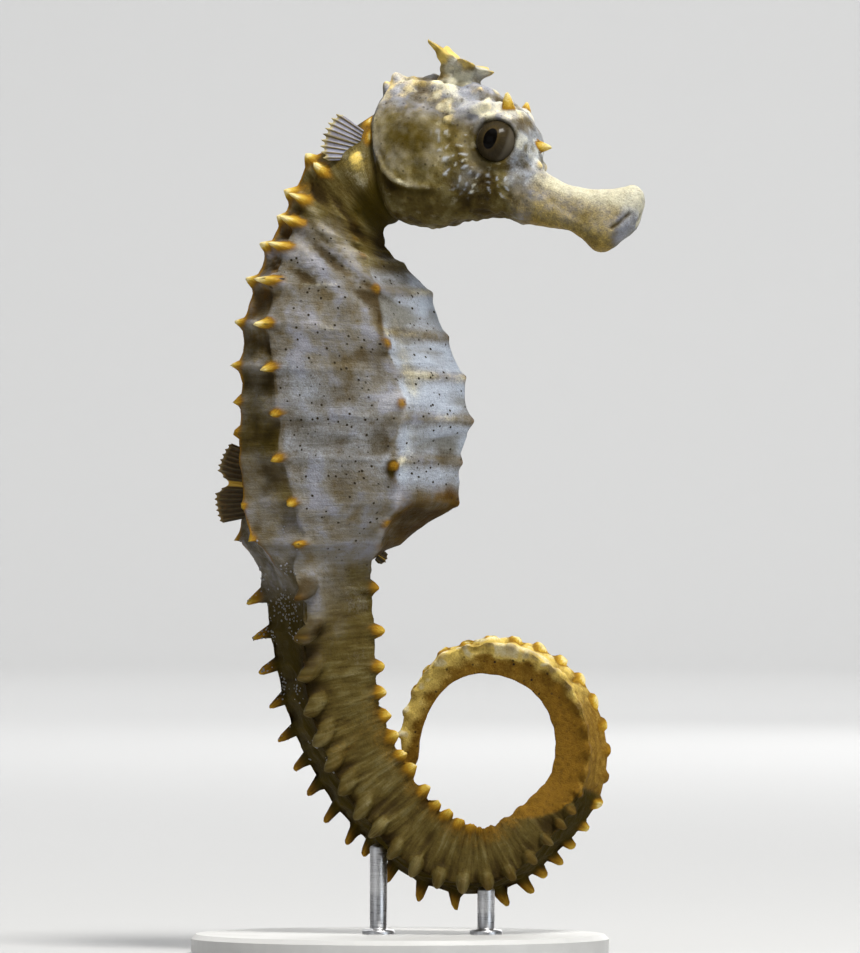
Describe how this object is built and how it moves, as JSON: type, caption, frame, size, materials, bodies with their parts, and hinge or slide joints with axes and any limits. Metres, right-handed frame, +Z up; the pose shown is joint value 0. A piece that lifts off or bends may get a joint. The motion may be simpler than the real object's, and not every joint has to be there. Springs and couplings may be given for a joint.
{
  "type": "seahorse model",
  "caption": "Life-size seahorse with ringed, spiny body, coronet, long snout and coiled tail, held upright by two rods on a low oval base.",
  "frame": {"origin": "middle of the display stand's flat underside", "axes": "+X the way the animal faces, +Y its left side, +Z up"},
  "size_m": [0.0502, 0.038, 0.0999],
  "materials": {
    "skin": "semi-matt, finely wrinkled",
    "tail_skin": "semi-matt, ringed and wrinkled",
    "snout_skin": "smooth, semi-matt",
    "crown_skin": "semi-matt",
    "eye": "wet gloss",
    "fin": "thin, satin membrane",
    "stand_plate": "matt white paint",
    "stand_steel": "satin"
  },
  "bodies": {
    "root": {"neck": "skin", "trunk_upper": "skin", "trunk_middle": "skin", "trunk_lower": "skin", "tail_root": "tail_skin", "tail_upper": "tail_skin", "tail_middle": "tail_skin", "tail_bend": "tail_skin", "tail_coil_lower": "tail_skin", "tail_coil_front": "tail_skin", "tail_coil_top": "tail_skin", "tail_tip": "tail_skin", "head": "skin", "snout": "snout_skin", "eye_left": "eye", "eye_right": "eye", "coronet": "crown_skin", "dorsal_fin": "fin", "anal_fin": "fin", "pectoral_fin_left": "fin", "pectoral_fin_right": "fin", "stand_base": "stand_plate", "stand_rod_rear": "stand_steel", "stand_rod_front": "stand_steel"}
  },
  "joints": []
}
